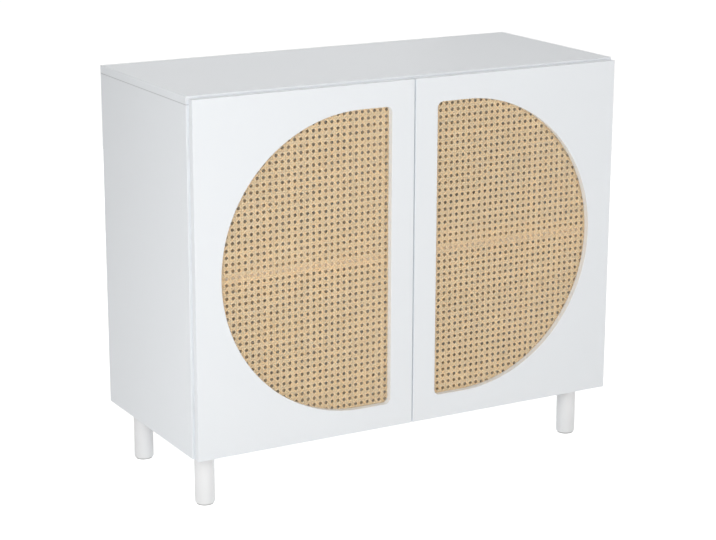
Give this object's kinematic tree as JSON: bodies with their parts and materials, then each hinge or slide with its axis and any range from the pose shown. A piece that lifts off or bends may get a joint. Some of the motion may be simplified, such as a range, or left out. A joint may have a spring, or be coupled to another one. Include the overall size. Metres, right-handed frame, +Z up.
{
  "type": "record cabinet",
  "caption": "Low white record cabinet on round legs, with two overlay doors whose mirrored D-shaped openings hold woven cane panels; shelves and a divider inside.",
  "frame": {"origin": "on the floor, under the middle of the footprint (doors included)", "axes": "+X to the right as seen from the front, +Y to the back, +Z up; the doors face -Y"},
  "size_m": [0.912, 0.405, 0.78],
  "materials": {
    "painted_board": "satin white paint on fibreboard",
    "painted_leg": "satin white paint on turned wood",
    "back_board": "white-faced hardboard",
    "cane": "natural woven cane, unvarnished",
    "cane_strip": "split cane spline, natural",
    "beech": "fluted beech, raw",
    "felt": "pressed white felt",
    "soft_bumper": "soft clear elastomer",
    "latch_plastic": "moulded, fine matt",
    "plunger_plastic": "moulded, fine matt",
    "die_cast_zinc": "die-cast zinc alloy",
    "steel": "nickel-plated steel"
  },
  "bodies": {
    "carcass": {"back_panel": "back_board", "back_panel_nails": "steel", "bottom_panel": "painted_board", "cam_bolts": "steel", "cam_locks": "die_cast_zinc", "centre_divider": "painted_board", "divider_screws": "steel", "dowels": "beech", "front_left_leg": "painted_leg", "front_right_leg": "painted_leg", "hanger_bolts": "steel", "hinge_arm_screws": "steel", "hinge_plate_screws": "steel", "latch_screws": "steel", "left_latch_housing": "latch_plastic", "left_lower_hinge_arm": "steel", "left_lower_hinge_mounting_plate": "steel", "left_shelf": "painted_board", "left_side_panel": "painted_board", "left_upper_hinge_arm": "steel", "left_upper_hinge_mounting_plate": "steel", "leg_glides": "felt", "leg_mounting_plates": "steel", "leg_plate_screws": "steel", "rear_left_leg": "painted_leg", "rear_right_leg": "painted_leg", "right_latch_housing": "latch_plastic", "right_lower_hinge_arm": "steel", "right_lower_hinge_mounting_plate": "steel", "right_shelf": "painted_board", "right_side_panel": "painted_board", "right_upper_hinge_arm": "steel", "right_upper_hinge_mounting_plate": "steel", "shelf_pins": "steel", "top_panel": "painted_board"},
    "left_door": {"left_door_frame": "painted_board", "left_cane_panel": "cane", "left_cane_retaining_strip": "cane_strip", "left_upper_hinge_cup": "steel", "left_lower_hinge_cup": "steel", "left_hinge_cup_screws": "steel", "left_hinge_pins": "steel", "left_strike_plate": "steel", "left_strike_screws": "steel", "left_door_bumpers": "soft_bumper"},
    "right_door": {"right_door_frame": "painted_board", "right_cane_panel": "cane", "right_cane_retaining_strip": "cane_strip", "right_upper_hinge_cup": "steel", "right_lower_hinge_cup": "steel", "right_hinge_cup_screws": "steel", "right_hinge_pins": "steel", "right_strike_plate": "steel", "right_strike_screws": "steel", "right_door_bumpers": "soft_bumper"},
    "left_plunger": {"left_latch_plunger": "plunger_plastic"},
    "right_plunger": {"right_latch_plunger": "plunger_plastic"}
  },
  "joints": [
    {"name": "left_door_hinge", "type": "hinge", "parent": "carcass", "child": "left_door", "pos_m": [-0.4451, -0.195, 0.443], "axis": [0, 0, -1], "range_deg": [0, 100]},
    {"name": "right_door_hinge", "type": "hinge", "parent": "carcass", "child": "right_door", "pos_m": [0.4451, -0.195, 0.443], "axis": [0, 0, 1], "range_deg": [0, 100]},
    {"name": "left_plunger_slide", "type": "slide", "parent": "carcass", "child": "left_plunger", "axis": [0, -1, 0], "range_m": [0, 0.0361]},
    {"name": "right_plunger_slide", "type": "slide", "parent": "carcass", "child": "right_plunger", "axis": [0, -1, 0], "range_m": [0, 0.0361]}
  ],
  "couplings": [
    {"joint": "left_plunger_slide", "follows": "left_door_hinge", "m_per_rad": 0.020626},
    {"joint": "right_plunger_slide", "follows": "right_door_hinge", "m_per_rad": 0.020626}
  ]
}
